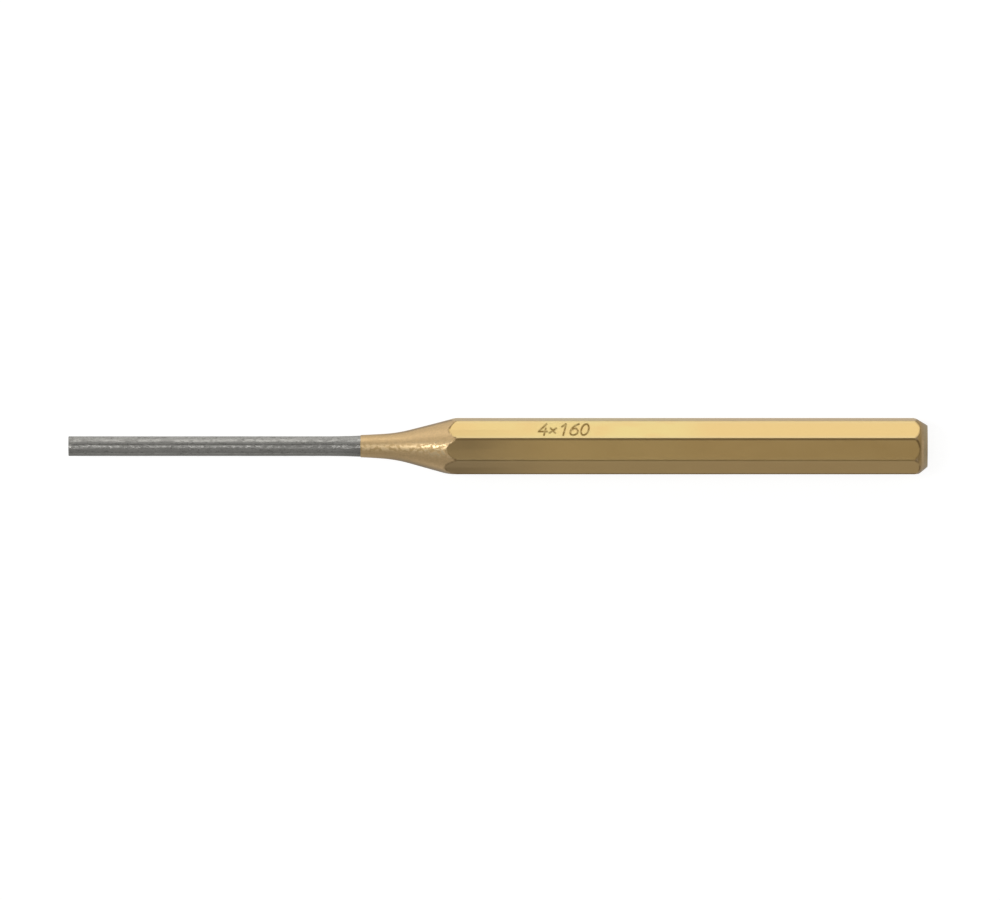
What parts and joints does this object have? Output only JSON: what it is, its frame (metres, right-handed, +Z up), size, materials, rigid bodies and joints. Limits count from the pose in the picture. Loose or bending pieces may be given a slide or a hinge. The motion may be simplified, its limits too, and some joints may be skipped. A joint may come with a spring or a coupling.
{
  "type": "pin punch",
  "caption": "Pin punch: slim bare steel drive pin, cone running out into an octagonal gold-lacquered shank, chamfered striking head.",
  "frame": {"origin": "on the lowest flat of the shank, halfway between the pin's end and the striking face, below the punch's axis", "axes": "+X along the punch's axis from the drive pin towards the striking head, +Z up, square to the flat that the punch lies on"},
  "size_m": [0.16, 0.01, 0.0101],
  "materials": {
    "bare_steel": "satin",
    "gold_lacquer": "satin"
  },
  "bodies": {
    "root": {"forged_punch": "bare_steel", "lacquer_coat": "gold_lacquer"}
  },
  "joints": []
}
